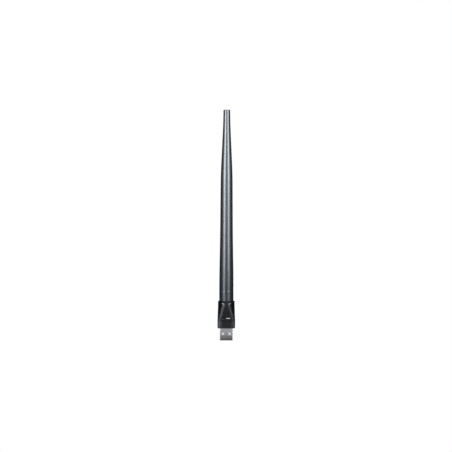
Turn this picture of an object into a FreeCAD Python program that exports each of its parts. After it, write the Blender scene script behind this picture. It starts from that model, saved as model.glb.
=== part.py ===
import FreeCAD, Part
import math
import os

# USB wireless adapter with a long fold-back antenna, in millimetres.
# Z is up, from the plug towards the antenna's tip, and -Y is the front, which carries the indicator.
# The origin is the centre of the plug where it leaves the housing's flat shoulder.
# The housing is a box with a crowned front below and a round collar on top.
# The antenna turns on two trunnions in that collar, from straight up (at rest) to flat behind the
# housing, through a slot in the rear cover.

V = FreeCAD.Vector

# ---- driving dimensions -------------------------------------------------------------------------

# plug, to the usual type A sizes
PLUG_WIDTH = 12.0
PLUG_DEPTH = 4.5
PLUG_LENGTH = 11.75
PLUG_INSIDE = 3.2
PLUG_CORNER = 0.65
PLUG_FIT = 0.1
MOUTH_ROUND = 0.12
MOUTH_DEPTH = 8.9
SHELL_WALL = 0.3
WINDOW_WIDTH = 2.5
WINDOW_HEIGHT = 2.3
WINDOW_X = 3.1
WINDOW_Z = -5.2
WINDOW_CORNER = 0.3
JOINT_GAP = 0.07
JOINT_NECK = 0.35
JOINT_HEAD = 0.7
JOINT_Z = (-7.7, -6.6)
JOINT_TAIL = 0.6
TAB_FRONT_Y = -0.8
TAB_PROUD = 0.45
TAB_Z = (PLUG_INSIDE - 0.4, PLUG_INSIDE + 1.5)
TONGUE_SETBACK = 0.3
TONGUE_LEAD_IN = 0.35
CONTACT_X = (-3.5, -1.0, 1.0, 3.5)
CONTACT_SETBACK = (1.0, 2.0, 2.0, 1.0)
CONTACT_WIDTH = 1.0
CONTACT_THICKNESS = 0.25
CONTACT_PROUD = 0.1
CONTACT_STEP = 0.75
CONTACT_TAIL = 1.6

# housing: a box with a crowned front below, and a round collar above
BODY_WIDTH = 16.7
BODY_REAR_Y = 5.5
BODY_CORNER = 1.3
FRONT_CORNER_Y = -4.3
FRONT_CROWN = 25.0
BODY_STRAIGHT = 6.5
BODY_WALL = 1.2
BASE_ROUND = 1.0
COLLAR_RADIUS = 7.9
COLLAR_START = 21.2
COLLAR_FLAT = 1.0
RIM_Z = 23.85
RIM_DISH = 12.5
RIM_ROUND = 0.8
CUP_RADIUS = 7.0
CUP_FLOOR_Z = 25.2
CAVITY_TOP = 12.4
GROOVE_DEPTH = 0.22
GROOVE_HALF = 0.09
RAIL_WIDTH = 0.9
RAIL_Z = (4.8, 11.2)
STOP_Z = (9.6, 11.2)
SHELF_WIDTH = 0.45
SHELF_FRONT_Y = -1.2
SHELF_BEHIND = 0.4

# indicator window: half sizes of its floor, and how far each side spreads for a depth of one
INDICATOR_X = -2.75
INDICATOR_Z = 10.5
INDICATOR_DEPTH = 0.65
INDICATOR_FLOOR = {"left": 1.1, "right": 1.1, "down": 1.25, "up": 0.85}
INDICATOR_SLOPE = {"left": 0.2, "right": 0.2, "down": 1.3, "up": 0.2}
PIPE_FIT = 0.03
PIPE_FLANGE = 0.5
PIPE_INNER_Y = (-4.4, -0.5)

# hinge
HINGE_DROP = 6.55
TONGUE_RADIUS = 3.6
TONGUE_WIDTH = 7.6
TONGUE_ROOM = 0.3
SLOT_WIDTH = 8.0
TRUNNION_RADIUS = 2.0
TRUNNION_REACH = 6.0
TRUNNION_CLEARANCE = 0.05
TRUNNION_ROOM = 0.2
SWEEP_DROP = 6.25
SWEEP_DISH = 20.0
SWEEP_GAP = 0.25
WASHER_RADIUS = 3.3
WASHER_THICKNESS = 0.45
WASHER_ROOM = 0.05

# antenna
RIM_GAP = 1.75
SLEEVE_RADIUS = 6.75
SLEEVE_SEAM_Z = 35.6
SEAM_BEVEL = 0.07
SEAM_TURN = 1.5
BASE_EDGE_ROUND = 0.3
SKIRT_SPLIT_Y = 0.15
SLEEVE_TOP_Z = 207.5
SLEEVE_WALL = 1.1
SLEEVE_CAP = 1.5
TIP_CORNER = 0.3
SPIGOT_RADIUS = 5.5
SPIGOT_WALL = 1.2
SPIGOT_FIT = 0.02
SPIGOT_TOP_Z = 43.0
# (radius, height) of the sleeve's outside: nearly straight to a soft shoulder, then a slim taper
SLEEVE_OUTLINE = [
    (SLEEVE_RADIUS, SLEEVE_SEAM_Z + SEAM_BEVEL),
    (6.70, 48.0),
    (6.38, 68.0),
    (6.05, 90.0),
    (5.82, 118.0),
    (5.66, 140.0),
    (5.33, 152.0),
    (4.60, 168.0),
    (3.70, 188.0),
    (3.35, 198.0),
    (3.18, SLEEVE_TOP_Z - TIP_CORNER),
]

# lead and radiating parts inside the antenna
COAX_RADIUS = 0.6
CORE_RADIUS = 0.22
CORE_END_Z = 10.2
JACKET_END_Z = 11.1
LEAD_SPLIT = 0.75
LEAD_ROOM = 0.25
FEED_Z = 66.0
TUBE_RADIUS = 2.5
TUBE_WALL = 0.3
TUBE_LENGTH = 29.0
TUBE_CAP = 1.0
BUSH_RADIUS = 2.4
BUSH_LENGTH = 3.0
WIRE_RADIUS = 0.45
WIRE_TOP_Z = 168.0
COIL_Z = (96.0, 108.0)
COIL_RADIUS = 2.2
COIL_TURNS = 6
COIL_ARM_RADIUS = 0.4
RING_HEIGHT = 3.0
RING_FIT = 0.03
RING_Z = (50.0, 84.0, 128.0, 156.0)

# board
BOARD_WIDTH = 13.8
BOARD_THICKNESS = 0.8
BOARD_FRONT_Y = COAX_RADIUS
BOARD_BOTTOM_Z = 3.3
BOARD_TOP_Z = 12.2
BOARD_CORNER = 0.8

# components as (x, z, width, height, thickness), flat on the board
RADIO_CHIP = (1.6, 7.6, 4.4, 4.4, 0.85)
CHIP_EDGE = 0.12
CRYSTAL_BASE = (-4.0, 7.0, 2.5, 2.0, 0.35)
CRYSTAL_LID = (-4.0, 7.0, 2.1, 1.6, 0.6)
LAMP_BASE = (INDICATOR_X, INDICATOR_Z, 1.6, 0.8, 0.3)
LAMP_LENS = (INDICATOR_X, INDICATOR_Z, 1.0, 0.7, 0.65)
INDUCTOR_BASE = (-2.6, 6.6, 2.5, 2.5, 0.4)
INDUCTOR_CORE = (1.15, 1.2)
REGULATOR = (0.9, 8.6, 2.9, 1.6, 1.15)
REGULATOR_LEGS = ((-0.95, -1), (0.0, -1), (0.95, -1), (-0.95, 1), (0.95, 1))
REGULATOR_LEG = (0.4, 1.35, 0.25)
AMPLIFIER = (-3.0, 10.3, 2.0, 2.0, 0.75)
BAND_FILTER = (-0.9, 10.6, 1.2, 0.9, 0.5)
FRONT_CAPACITORS = ((5.0, 5.8), (5.0, 7.0), (5.0, 8.2), (2.6, 11.0), (-5.5, 9.0), (-5.5, 11.2))
FRONT_CAPACITOR_SIZE = (1.0, 0.5, 0.5)
REAR_CAPACITORS = ((-5.3, 5.6), (-5.3, 6.9), (-5.3, 8.2), (0.6, 5.0), (0.6, 6.3))
REAR_CAPACITOR_SIZE = (1.6, 0.8, 0.8)
RESISTORS = ((-1.7, 6.3), (-1.7, 7.3), (-1.7, 8.3), (-5.5, 10.2))
RESISTOR_SIZE = (1.0, 0.5, 0.35)
TAB_SOLDER_RADIUS = 0.6
LEAD_SOLDER_RADIUS = 0.5
LEAD_PAD_X = 0.75

# push button in the right side, sitting in the rear cover, and the switch behind it
BUTTON_Y = 2.6
BUTTON_Z = 6.4
BUTTON_LENGTH = 3.4
BUTTON_WIDTH = 1.6
BUTTON_PROUD = 0.15
BUTTON_TRAVEL = 0.25
BUTTON_CLEARANCE = 0.08
FLANGE_THICKNESS = 0.4
FLANGE_SIDE = 0.25
FLANGE_END = 0.3
FLANGE_ROOM = 0.15
SWITCH_X = (3.4, 5.9)
SWITCH_SIDE = 0.95
SWITCH_HALF_LENGTH = 1.55
PLUNGER_SIZE = (1.0, 1.2)
PLUNGER_DEPTH = 0.8
PLUNGER_STROKE_ROOM = 0.5
PLUNGER_FIT = 0.06

# values that follow from them
BODY_X = BODY_WIDTH / 2
CORNER_X = BODY_X - BODY_CORNER
CROWN_REACH = FRONT_CROWN - BODY_CORNER
CROWN_CENTRE_Y = FRONT_CORNER_Y + math.sqrt(CROWN_REACH**2 - CORNER_X**2)
CROWN_ANGLE = math.degrees(math.asin(CORNER_X / CROWN_REACH))
HINGE_Z = RIM_Z - HINGE_DROP
BASE_BOTTOM_Z = RIM_Z + RIM_GAP
BOARD_BACK_Y = BOARD_FRONT_Y + BOARD_THICKNESS
CAVITY_X = BODY_X - BODY_WALL
CAVITY_REAR_Y = BODY_REAR_Y - BODY_WALL
FLANGE_X = (CAVITY_X - BUTTON_TRAVEL, CAVITY_X + FLANGE_THICKNESS)
PLUNGER_Y = (BUTTON_Y - PLUNGER_SIZE[0] / 2, BUTTON_Y + PLUNGER_SIZE[0] / 2)
PLUNGER_Z = (BUTTON_Z - PLUNGER_SIZE[1] / 2, BUTTON_Z + PLUNGER_SIZE[1] / 2)
SLEEVE_BORE = [(radius - SLEEVE_WALL, height) for radius, height in SLEEVE_OUTLINE[1:]]

# farther than any part reaches, and a little more than a face, for cutting tools
FAR = 40.0
OVER = 1.0
TINY = 0.01


# ---- shared shapes ------------------------------------------------------------------------------


def block(x, y, z):
    """A box from three (low, high) pairs."""
    return Part.makeBox(x[1] - x[0], y[1] - y[0], z[1] - z[0], V(x[0], y[0], z[0]))


def upright(radius, z, x=0.0, y=0.0):
    """A cylinder along Z between two heights."""
    return Part.makeCylinder(radius, z[1] - z[0], V(x, y, z[0]), V(0, 0, 1))


def crosswise(radius, x, y=0.0, z=HINGE_Z):
    """A cylinder along X between two places, on the hinge's axis unless another is given."""
    return Part.makeCylinder(radius, x[1] - x[0], V(x[0], y, z), V(1, 0, 0))


def joined(shapes):
    """One solid out of several."""
    return shapes[0].multiFuse(shapes[1:]).removeSplitter()


def less(shape, tools):
    """A shape with several others cut away."""
    return shape.cut(tools[0] if len(tools) == 1 else tools[0].multiFuse(tools[1:]))


def slab(wire, height):
    """A closed flat wire raised along Z."""
    return Part.Face(wire).extrude(V(0, 0, height))


def rounded_wire(half_x, half_y, radius, z):
    """Four lines and four quarter arcs, from the left end of the front side, seen from above."""
    bend = radius * (1 - math.sqrt(0.5))
    ends = []
    middles = []
    for sx, sy in ((1, -1), (1, 1), (-1, 1), (-1, -1)):
        flat = V(sx * (half_x - radius), sy * half_y, z)
        side = V(sx * half_x, sy * (half_y - radius), z)
        ends.append((flat, side) if sx * sy < 0 else (side, flat))
        middles.append(V(sx * (half_x - bend), sy * (half_y - bend), z))
    edges = []
    for i in range(4):
        edges.append(Part.LineSegment(ends[i - 1][1], ends[i][0]).toShape())
        edges.append(Part.Arc(ends[i][0], middles[i], ends[i][1]).toShape())
    return Part.Wire(edges)


def arc_round(centre, radius, start, end, z):
    """A level arc about a centre between two directions in degrees from +X."""
    at = []
    for degrees in (start, (start + end) / 2, end):
        turn = math.radians(degrees)
        at.append(V(centre[0] + radius * math.cos(turn), centre[1] + radius * math.sin(turn), z))
    return Part.Arc(*at).toShape()


def body_wire(inset, z):
    """The housing's section, or one set in by a wall: a crowned front, two sides and a flat rear."""
    corner = BODY_CORNER - inset
    side = BODY_X - inset
    rear = BODY_REAR_Y - inset
    rear_corner_y = BODY_REAR_Y - BODY_CORNER
    left = -90.0 - CROWN_ANGLE
    right = -90.0 + CROWN_ANGLE
    edges = [
        arc_round((0.0, CROWN_CENTRE_Y), FRONT_CROWN - inset, left, right, z),
        arc_round((CORNER_X, FRONT_CORNER_Y), corner, right, 0.0, z),
        Part.LineSegment(V(side, FRONT_CORNER_Y, z), V(side, rear_corner_y, z)).toShape(),
        arc_round((CORNER_X, rear_corner_y), corner, 0.0, 90.0, z),
        Part.LineSegment(V(CORNER_X, rear, z), V(-CORNER_X, rear, z)).toShape(),
        arc_round((-CORNER_X, rear_corner_y), corner, 90.0, 180.0, z),
        Part.LineSegment(V(-side, rear_corner_y, z), V(-side, FRONT_CORNER_Y, z)).toShape(),
        arc_round((-CORNER_X, FRONT_CORNER_Y), corner, 180.0, 270.0 - CROWN_ANGLE, z),
    ]
    return Part.Wire(edges)


def ring_wire(radius, z):
    """A circle in eight arcs, which pair up with the sides and corners of the housing's section."""
    half_spans = (CROWN_ANGLE, COLLAR_FLAT, COLLAR_FLAT, COLLAR_FLAT)
    stops = []
    for quarter, half in zip((-90.0, 0.0, 90.0, 180.0), half_spans):
        stops += [quarter - half, quarter + half]
    stops.append(stops[0] + 360.0)
    edges = [arc_round((0.0, 0.0), radius, start, end, z) for start, end in zip(stops, stops[1:])]
    return Part.Wire(edges)


def stadium(length, width, x, y, z, depth):
    """A slot shape with round ends, long along Z, raised along X from x by depth."""
    half = (length - width) / 2
    radius = width / 2
    ends = (V(x, y - radius, z - half), V(x, y + radius, z - half))
    tops = (V(x, y - radius, z + half), V(x, y + radius, z + half))
    wire = Part.Wire(
        [
            Part.Arc(ends[0], V(x, y, z - half - radius), ends[1]).toShape(),
            Part.LineSegment(ends[1], tops[1]).toShape(),
            Part.Arc(tops[1], V(x, y, z + half + radius), tops[0]).toShape(),
            Part.LineSegment(tops[0], ends[0]).toShape(),
        ]
    )
    return Part.Face(wire).extrude(V(depth, 0, 0))


def dish_rise(x, radius=RIM_DISH):
    """How far a dished surface stands above its middle at a distance x from the centre line."""
    return radius - math.sqrt(radius**2 - x**2)


def under_dish(middle_z, floor_z, half_x, y, radius=RIM_DISH):
    """The space between a floor and a surface dished across X, between two places along Y."""
    edge_z = middle_z + dish_rise(half_x, radius)
    corners = (V(-half_x, y[0], floor_z), V(half_x, y[0], floor_z))
    tops = (V(-half_x, y[0], edge_z), V(half_x, y[0], edge_z))
    wire = Part.Wire(
        [
            Part.LineSegment(corners[0], corners[1]).toShape(),
            Part.LineSegment(corners[1], tops[1]).toShape(),
            Part.Arc(tops[1], V(0, y[0], middle_z), tops[0]).toShape(),
            Part.LineSegment(tops[0], corners[0]).toShape(),
        ]
    )
    return Part.Face(wire).extrude(V(0, y[1] - y[0], 0))


def turned(points, curve_through=()):
    """A solid of revolution about Z from (radius, height) corners. Points listed in curve_through
    are joined by one smooth curve in place of straight lines."""
    edges = []
    place = [V(r, 0, z) for r, z in points]
    first, last = (curve_through[0], curve_through[-1]) if curve_through else (None, None)
    i = 0
    while i < len(place):
        following = place[(i + 1) % len(place)]
        if points[i] == first:
            curve = Part.BSplineCurve()
            curve.interpolate([V(r, 0, z) for r, z in curve_through])
            edges.append(curve.toShape())
            i = points.index(last)
            continue
        edges.append(Part.LineSegment(place[i], following).toShape())
        i += 1
    return Part.Face(Part.Wire(edges)).revolve(V(0, 0, 0), V(0, 0, 1), 360)


# ---- housing ------------------------------------------------------------------------------------


def housing_outside():
    """The whole outer form: crowned box, transition and round collar."""
    foot = slab(body_wire(0.0, 0.0), BODY_STRAIGHT)
    shoulder = body_wire(0.0, BODY_STRAIGHT)
    transition = Part.makeLoft([shoulder, ring_wire(COLLAR_RADIUS, COLLAR_START)], True, True)
    collar = upright(COLLAR_RADIUS, (COLLAR_START, RIM_Z + 4 * OVER))
    bottom = [e for e in foot.Edges if e.BoundBox.ZMax < TINY]
    foot = foot.makeFillet(BASE_ROUND, bottom)
    return joined([foot, transition, collar])


def rim_keeper():
    """Everything below the dished rim: straight in front, and rolled about the hinge behind."""
    half_x = COLLAR_RADIUS + 4 * OVER
    front = under_dish(RIM_Z, -OVER, half_x, (-FAR, 0.0))
    rear = block((-half_x, half_x), (0.0, FAR), (-OVER, HINGE_Z))
    above = under_dish(RIM_Z, HINGE_Z, half_x, (0.0, OVER))
    roll = min(above.Faces, key=lambda f: f.CenterOfMass.y)
    rolled = roll.revolve(V(0, 0, HINGE_Z), V(-1, 0, 0), 90)
    return joined([front, rear, rolled])


def on_rim(point):
    """Whether a point lies on the dished surface, in front of the hinge's axis or behind it."""
    rise = HINGE_DROP + dish_rise(point.x)
    reach = point.z - HINGE_Z if point.y < 0 else math.hypot(point.y, point.z - HINGE_Z)
    return abs(reach - rise) < 2 * TINY


def rim_rounded(shape):
    """Rounds the outer edge of the rim all the way round."""
    picked = []
    for edge in shape.Edges:
        middle = edge.valueAt((edge.FirstParameter + edge.LastParameter) / 2)
        if math.hypot(middle.x, middle.y) > CUP_RADIUS + 0.5 and on_rim(middle):
            picked.append(edge)
    return shape.makeFillet(RIM_ROUND, picked)


def base_space():
    """What the antenna's base needs: a round cup, its path round the hinge, and room to lie flat."""
    low = HINGE_Z + SWEEP_DROP
    above = under_dish(low, SLEEVE_SEAM_Z, CUP_RADIUS, (0.0, OVER), SWEEP_DISH)
    profile = min(above.Faces, key=lambda f: f.CenterOfMass.y)
    path = profile.revolve(V(0, 0, HINGE_Z), V(-1, 0, 0), 90)
    folded = profile.rotated(V(0, 0, HINGE_Z), V(-1, 0, 0), 90)
    landing = folded.extrude(V(0, 0, -SLEEVE_RADIUS - SWEEP_GAP))
    return [path, landing, upright(CUP_RADIUS, (CUP_FLOOR_Z, SLEEVE_SEAM_Z))]


def hinge_space():
    """What the turning tongue, its neck, the washers, trunnions and lead need inside the collar."""
    trough = TONGUE_RADIUS + TONGUE_ROOM
    half = SLOT_WIDTH / 2
    reach = TRUNNION_REACH + TRUNNION_ROOM
    lead_room = 2 * COAX_RADIUS
    cuts = [
        crosswise(trough, (-half, half)),
        block((-half, half), (-trough, FAR), (HINGE_Z, SLEEVE_SEAM_Z)),
        block((-half, half), (0.0, FAR), (HINGE_Z - trough, HINGE_Z)),
        crosswise(TRUNNION_RADIUS + TRUNNION_CLEARANCE, (-reach, reach)),
        block((-lead_room, lead_room), (-lead_room, lead_room), (CAVITY_TOP - OVER, HINGE_Z)),
    ]
    for side in (-1, 1):
        seat = sorted((side * half, side * (half + WASHER_THICKNESS + WASHER_ROOM)))
        cuts.append(crosswise(WASHER_RADIUS + 2 * WASHER_ROOM, seat))
    return cuts


def parting_groove(outside):
    """A fine V-like groove all round where the two covers meet."""
    shrink = FreeCAD.Matrix()
    shrink.scale(1 - GROOVE_DEPTH / BODY_X, 1.0, 1.0)
    shrink.move(V(0, 0, GROOVE_DEPTH))
    ring = outside.common(block((-FAR, FAR), (-GROOVE_HALF, GROOVE_HALF), (-OVER, FAR)))
    return ring.cut(outside.transformGeometry(shrink))


def front_at(x, z):
    """Where the crowned front lies at a place in the transition: an arc that tightens upward."""
    share = (z - BODY_STRAIGHT) / (COLLAR_START - BODY_STRAIGHT)
    radius = FRONT_CROWN + (COLLAR_RADIUS - FRONT_CROWN) * share
    return CROWN_CENTRE_Y * (1 - share) - math.sqrt(radius**2 - x**2)


def window_frame(y, spread):
    """A rectangle about the indicator at a place along Y, spread outward by the bevels' slopes."""
    reach = {side: INDICATOR_FLOOR[side] + INDICATOR_SLOPE[side] * spread for side in INDICATOR_FLOOR}
    x = (INDICATOR_X - reach["left"], INDICATOR_X + reach["right"])
    z = (INDICATOR_Z - reach["down"], INDICATOR_Z + reach["up"])
    corners = [V(x[0], y, z[0]), V(x[1], y, z[0]), V(x[1], y, z[1]), V(x[0], y, z[1])]
    return Part.makePolygon(corners + corners[:1])


def indicator_recess():
    """A bevelled window for the indicator, and the hole for the light pipe behind it."""
    floor = front_at(INDICATOR_X, INDICATOR_Z) + INDICATOR_DEPTH
    out = 2 * INDICATOR_DEPTH
    bevel = Part.makeLoft([window_frame(floor, 0.0), window_frame(floor - out, out)], True, True)
    hole = Part.Face(window_frame(floor, 0.0)).extrude(V(0, 2 * OVER, 0))
    return bevel.fuse(hole)


def around_button(side, end):
    """The (low, high) pairs along Y and Z of a box round the button with some space added."""
    y = BUTTON_WIDTH / 2 + side
    z = BUTTON_LENGTH / 2 + end
    return (BUTTON_Y - y, BUTTON_Y + y), (BUTTON_Z - z, BUTTON_Z + z)


def button_space():
    """The button's hole in the right wall and the pocket for its flange."""
    inner = CAVITY_X - OVER / 2
    hole = stadium(BUTTON_LENGTH, BUTTON_WIDTH, inner, BUTTON_Y, BUTTON_Z, 4 * OVER)
    y, z = around_button(FLANGE_SIDE + FLANGE_ROOM, FLANGE_END + FLANGE_ROOM)
    return [hole, block((inner, FLANGE_X[1] + WASHER_ROOM), y, z)]


def cavity():
    """The room for the board inside the housing."""
    return slab(body_wire(BODY_WALL, BODY_WALL), CAVITY_TOP - BODY_WALL)


def board_holders():
    """Rails and shelves in the front cover, and stops in the rear cover, that clamp the board."""
    front = []
    rear = []
    shelf_z = (BODY_WALL + 2 * PLUG_FIT, BOARD_BOTTOM_Z)
    for side in (-1, 1):
        rail = sorted((side * (CAVITY_X - RAIL_WIDTH), side * CAVITY_X))
        shelf = sorted((side * (CAVITY_X - SHELF_WIDTH), side * CAVITY_X))
        front.append(block(rail, (FRONT_CORNER_Y - PLUG_FIT, BOARD_FRONT_Y), RAIL_Z))
        front.append(block(shelf, (SHELF_FRONT_Y, BOARD_FRONT_Y + SHELF_BEHIND), shelf_z))
        rear.append(block(rail, (BOARD_BACK_Y, CAVITY_REAR_Y + PLUG_FIT), STOP_Z))
    return front, rear


def covers():
    """The front and rear covers, cut from one hollow form along the middle plane."""
    outside = housing_outside()
    whole = rim_rounded(outside.common(rim_keeper()))
    half_x = PLUG_WIDTH / 2 + PLUG_FIT
    half_y = PLUG_DEPTH / 2 + PLUG_FIT
    plug_hole = slab(rounded_wire(half_x, half_y, PLUG_CORNER + PLUG_FIT, -OVER), 4 * OVER)
    tools = [cavity(), plug_hole, parting_groove(outside)] + base_space() + hinge_space()
    hollow = less(whole, tools)
    front = hollow.common(block((-FAR, FAR), (-FAR, 0.0), (-OVER, FAR)))
    rear = hollow.common(block((-FAR, FAR), (0.0, FAR), (-OVER, FAR)))
    front_holders, rear_holders = board_holders()
    front = joined([front.cut(indicator_recess())] + front_holders)
    rear = joined([less(rear, button_space())] + rear_holders)
    return front, rear


def light_pipe():
    """Smoked stem that carries the indicator's light to the window, with a flange inside."""
    floor = front_at(INDICATOR_X, INDICATOR_Z) + INDICATOR_DEPTH
    wide = INDICATOR_FLOOR["left"] - PIPE_FIT
    x = (INDICATOR_X - wide, INDICATOR_X + wide)
    low = INDICATOR_Z - INDICATOR_FLOOR["down"] + PIPE_FIT
    high = INDICATOR_Z + INDICATOR_FLOOR["up"] - PIPE_FIT
    z = (low, high)
    stem = block(x, (floor, PIPE_INNER_Y[1]), z)
    around_x = (x[0] - PIPE_FLANGE, x[1] + PIPE_FLANGE)
    around_z = (z[0] - PIPE_FLANGE, z[1] + PIPE_FLANGE)
    flange = block(around_x, (-FAR, PIPE_INNER_Y[0]), around_z).common(cavity())
    return joined([stem, flange])


def button_cap():
    """Side push button with its retaining flange."""
    face = BODY_X + BUTTON_PROUD
    length = BUTTON_LENGTH - 2 * BUTTON_CLEARANCE
    width = BUTTON_WIDTH - 2 * BUTTON_CLEARANCE
    cap = stadium(length, width, CAVITY_X, BUTTON_Y, BUTTON_Z, face - CAVITY_X)
    rim = [e for e in cap.Edges if e.BoundBox.XMin > face - TINY]
    cap = cap.makeFillet(BUTTON_PROUD, rim)
    y, z = around_button(FLANGE_SIDE, FLANGE_END)
    return joined([cap, block(FLANGE_X, y, z)])


# ---- plug ---------------------------------------------------------------------------------------


def plug_shell():
    """Folded steel shell with four windows, a seam at the back and two board tabs."""
    length = PLUG_LENGTH + PLUG_INSIDE
    half_x = PLUG_WIDTH / 2
    half_y = PLUG_DEPTH / 2
    tube = slab(rounded_wire(half_x, half_y, PLUG_CORNER, -PLUG_LENGTH), length)
    mouth = [e for e in tube.Edges if e.BoundBox.ZMax < -PLUG_LENGTH + TINY]
    tube = tube.makeFillet(MOUTH_ROUND, mouth)
    inner = rounded_wire(
        half_x - SHELL_WALL, half_y - SHELL_WALL, PLUG_CORNER - SHELL_WALL, -PLUG_LENGTH - OVER
    )
    cuts = [slab(inner, length + 2 * OVER), plug_joint(half_y)]
    for x in (-WINDOW_X, WINDOW_X):
        window = block(
            (x - WINDOW_WIDTH / 2, x + WINDOW_WIDTH / 2),
            (-half_y - OVER, half_y + OVER),
            (WINDOW_Z - WINDOW_HEIGHT / 2, WINDOW_Z + WINDOW_HEIGHT / 2),
        )
        corners = [e for e in window.Edges if abs(e.tangentAt(e.FirstParameter).y) > 1 - TINY]
        cuts.append(window.makeFillet(WINDOW_CORNER, corners))
    tabs = []
    for side in (-1, 1):
        wall = sorted((side * (half_x - SHELL_WALL), side * half_x))
        tabs.append(block(wall, (TAB_FRONT_Y, BOARD_BACK_Y + TAB_PROUD), TAB_Z))
    return joined([less(tube, cuts)] + tabs)


def plug_joint(half_y):
    """The narrow dovetailed joint in the middle of the shell's rear face."""
    start = -PLUG_LENGTH - OVER
    end = PLUG_INSIDE + OVER
    low, high = JOINT_Z
    line = [
        (-JOINT_NECK, start),
        (-JOINT_NECK, low),
        (-JOINT_HEAD, high),
        (JOINT_HEAD, high),
        (JOINT_NECK, low),
        (JOINT_NECK, low - JOINT_TAIL),
        (JOINT_NECK + JOINT_GAP, low - JOINT_TAIL),
        (JOINT_NECK + JOINT_GAP, low),
        (JOINT_HEAD + 2 * JOINT_GAP, high + JOINT_GAP),
        (JOINT_GAP / 2, high + JOINT_GAP),
        (JOINT_GAP / 2, end),
        (-JOINT_GAP / 2, end),
        (-JOINT_GAP / 2, high + JOINT_GAP),
        (-JOINT_HEAD - 2 * JOINT_GAP, high + JOINT_GAP),
        (-JOINT_NECK - JOINT_GAP, low),
        (-JOINT_NECK - JOINT_GAP, start),
    ]
    edge = [V(x, half_y - OVER, z) for x, z in line]
    return Part.Face(Part.makePolygon(edge + edge[:1])).extrude(V(0, 2 * OVER, 0))


def plug_insulator(contacts):
    """Moulded tongue on the front half of the plug, and the block that closes it behind."""
    half_x = PLUG_WIDTH / 2 - SHELL_WALL
    half_y = PLUG_DEPTH / 2 - SHELL_WALL
    low = -PLUG_LENGTH + TONGUE_SETBACK
    full = slab(rounded_wire(half_x, half_y, PLUG_CORNER - SHELL_WALL, low), PLUG_INSIDE - low)
    mouth_z = (-PLUG_LENGTH, MOUTH_DEPTH - PLUG_LENGTH)
    mouth = block((-PLUG_WIDTH, PLUG_WIDTH), (0.0, PLUG_DEPTH), mouth_z)
    tongue = full.cut(mouth)
    tip = []
    for edge in tongue.Edges:
        box = edge.BoundBox
        if box.ZMax < low + TINY and abs(box.YMin) < TINY and box.YMax < TINY:
            tip.append(edge)
    return tongue.makeChamfer(TONGUE_LEAD_IN, tip).cut(contacts)


def plug_contact(x, setback):
    """One flat spring contact; its tail steps back onto the front of the board."""
    bend = PLUG_INSIDE + WASHER_ROOM
    rear = [
        (CONTACT_PROUD, setback - PLUG_LENGTH),
        (CONTACT_PROUD, bend),
        (BOARD_FRONT_Y, bend + CONTACT_STEP),
        (BOARD_FRONT_Y, BOARD_BOTTOM_Z + CONTACT_TAIL),
    ]
    front = [(y - CONTACT_THICKNESS, z) for y, z in reversed(rear)]
    edge = [V(x - CONTACT_WIDTH / 2, y, z) for y, z in rear + front]
    return Part.Face(Part.makePolygon(edge + edge[:1])).extrude(V(CONTACT_WIDTH, 0, 0))


def plug_contacts():
    """The four contacts, the outer two reaching further forward."""
    return Part.makeCompound([plug_contact(x, back) for x, back in zip(CONTACT_X, CONTACT_SETBACK)])


# ---- electronics --------------------------------------------------------------------------------


def chip(place, rear=False, chamfer=0.0):
    """A flat component (x, z, width, height, thickness) lying on the board's front, or on its rear."""
    x, z, width, height, thickness = place
    front_y = (BOARD_FRONT_Y - thickness, BOARD_FRONT_Y)
    y = (BOARD_BACK_Y, BOARD_BACK_Y + thickness) if rear else front_y
    made = block((x - width / 2, x + width / 2), y, (z - height / 2, z + height / 2))
    if not chamfer:
        return made
    outer = y[1] if rear else y[0]
    edges = []
    for edge in made.Edges:
        if max(abs(edge.BoundBox.YMin - outer), abs(edge.BoundBox.YMax - outer)) < TINY:
            edges.append(edge)
    return made.makeChamfer(chamfer, edges)


def main_board():
    """The circuit board, with slots at its lower edge for the plug's tabs."""
    board = block(
        (-BOARD_WIDTH / 2, BOARD_WIDTH / 2),
        (BOARD_FRONT_Y, BOARD_BACK_Y),
        (BOARD_BOTTOM_Z, BOARD_TOP_Z),
    )
    corners = []
    for edge in board.Edges:
        if edge.BoundBox.ZMin > BOARD_TOP_Z - TINY and edge.BoundBox.YLength > BOARD_THICKNESS / 2:
            corners.append(edge)
    board = board.makeChamfer(BOARD_CORNER, corners)
    cuts = []
    for side in (-1, 1):
        inner = side * (PLUG_WIDTH / 2 - SHELL_WALL - PLUG_FIT)
        outer = side * (PLUG_WIDTH / 2 + PLUG_FIT)
        slot_z = (BOARD_BOTTOM_Z - OVER, TAB_Z[1] + PLUG_FIT)
        cuts.append(block(sorted((inner, outer)), (-OVER, FAR), slot_z))
    return less(board, cuts)


def capacitors():
    """Ceramic capacitors on both faces of the board."""
    made = [chip(place + FRONT_CAPACITOR_SIZE) for place in FRONT_CAPACITORS]
    made += [chip(place + REAR_CAPACITOR_SIZE, rear=True) for place in REAR_CAPACITORS]
    return Part.makeCompound(made)


def resistors():
    """Small chip resistors beside the radio chip and the indicator."""
    return Part.makeCompound([chip(place + RESISTOR_SIZE) for place in RESISTORS])


def power_inductor():
    """Wound inductor with a square foot and a round top, on the rear."""
    radius, height = INDUCTOR_CORE
    start = V(INDUCTOR_BASE[0], BOARD_BACK_Y, INDUCTOR_BASE[1])
    core = Part.makeCylinder(radius, height, start, V(0, 1, 0))
    return joined([chip(INDUCTOR_BASE, rear=True), core])


def voltage_regulator():
    """Five-legged regulator on the rear."""
    x, z, _, _, _ = REGULATOR
    width, reach, thickness = REGULATOR_LEG
    made = [chip(REGULATOR, rear=True)]
    for offset, side in REGULATOR_LEGS:
        made.append(chip((x + offset, z + side * reach / 2, width, reach, thickness), rear=True))
    return joined(made)


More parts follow.
